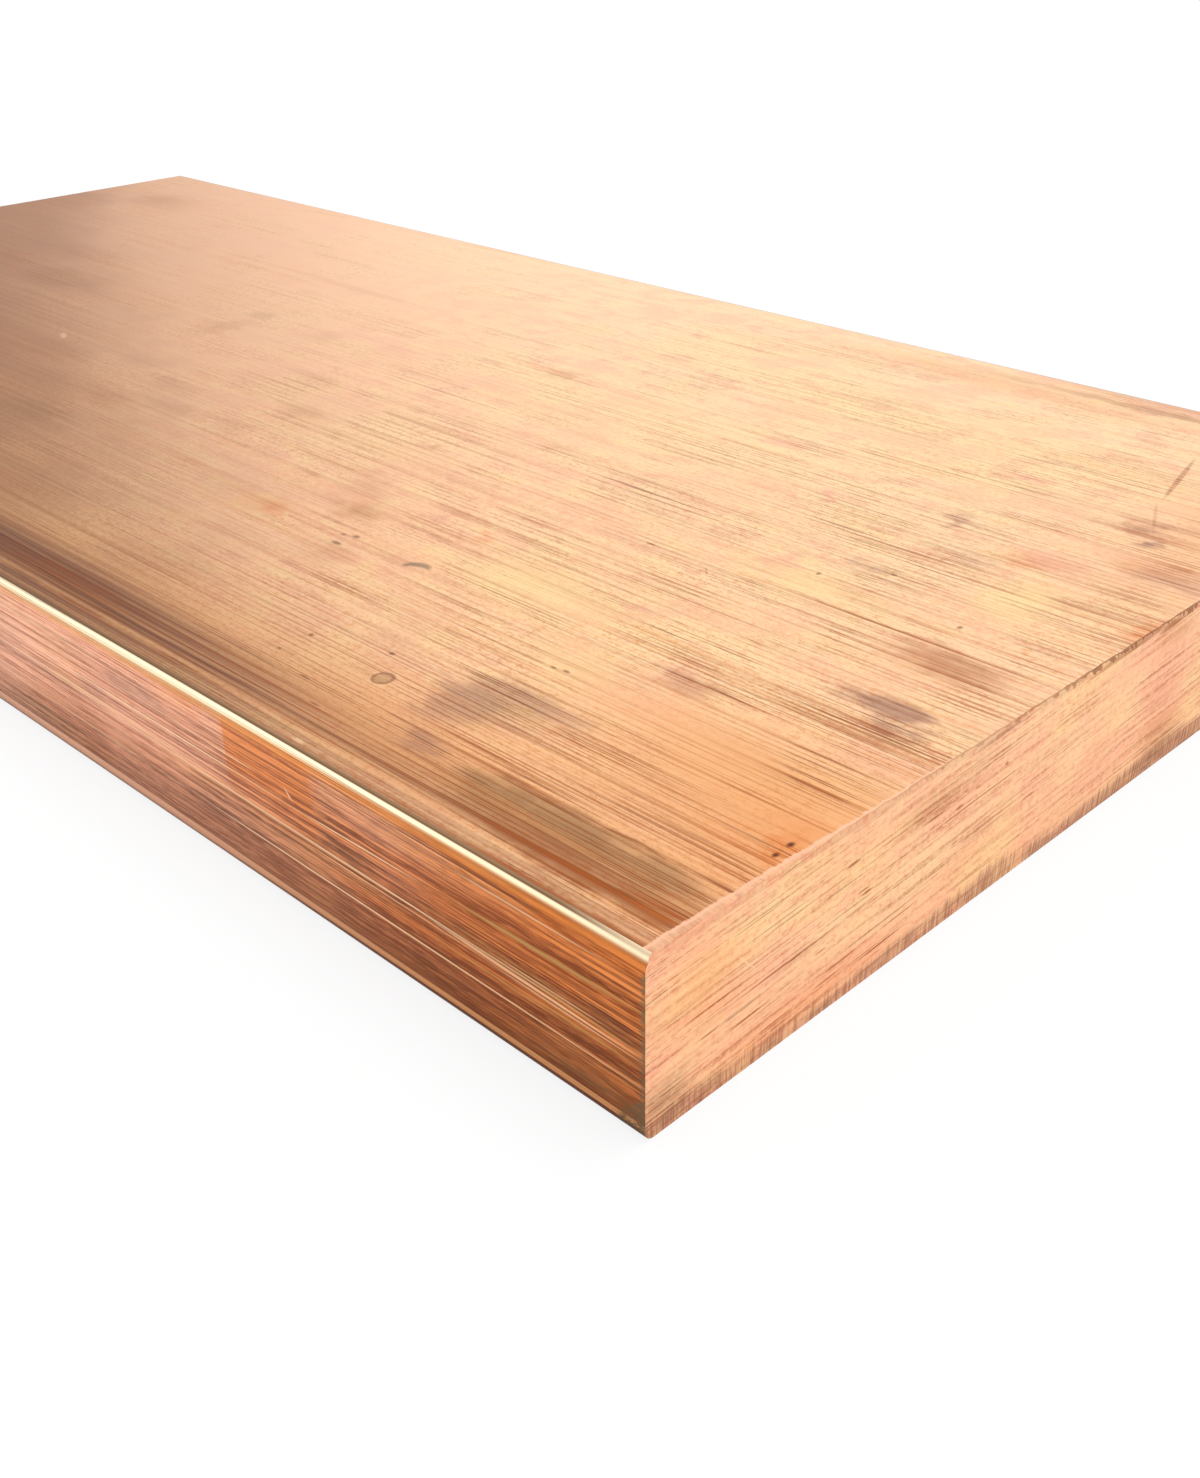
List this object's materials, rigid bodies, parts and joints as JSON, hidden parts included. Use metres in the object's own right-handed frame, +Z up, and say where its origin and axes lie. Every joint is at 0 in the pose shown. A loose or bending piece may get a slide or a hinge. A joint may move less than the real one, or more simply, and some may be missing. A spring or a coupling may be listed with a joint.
{
  "type": "copper plate",
  "caption": "Flat rectangular plate of solid drawn copper bar with softly rounded long corners and sawn ends, streaked along its length and lightly tarnished.",
  "frame": {"origin": "centre of the bottom broad face, which rests on the floor", "axes": "+X along the length, which is the direction in which the bar was drawn, +Y across the width, +Z up through the thickness"},
  "size_m": [0.2032, 0.1016, 0.0127],
  "materials": {
    "copper": "bare hard-drawn copper with lengthwise drawing lines and light brown tarnish; ends sawn"
  },
  "bodies": {
    "root": {"plate": "copper"}
  },
  "joints": []
}
